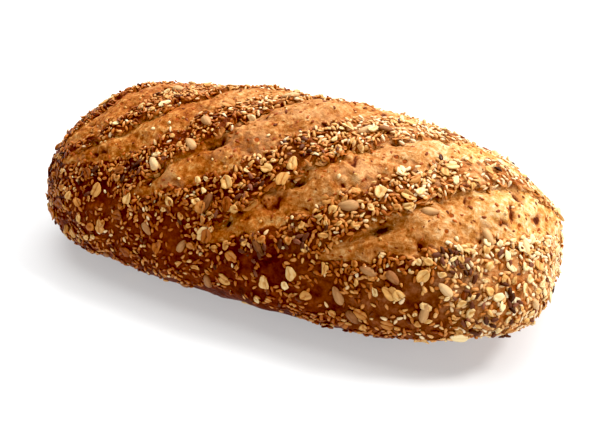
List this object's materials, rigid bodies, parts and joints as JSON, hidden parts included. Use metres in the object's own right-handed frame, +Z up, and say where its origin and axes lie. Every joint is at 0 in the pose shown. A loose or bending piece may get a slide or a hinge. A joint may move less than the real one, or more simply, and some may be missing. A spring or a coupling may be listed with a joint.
{
  "type": "multigrain country loaf",
  "caption": "Whole oblong country loaf with a slashed, seed-covered crust; a food prop that rests on its flat base.",
  "frame": {"origin": "middle of the flat base, on the surface that the loaf stands on", "axes": "+X along the loaf to its right end as pictured, +Y to its far side, +Z up"},
  "size_m": [0.2649, 0.1308, 0.0871],
  "materials": {
    "crust": "baked crust, dull to satin, with toasted seeds and flakes"
  },
  "bodies": {
    "root": {"loaf": "crust"}
  },
  "joints": []
}
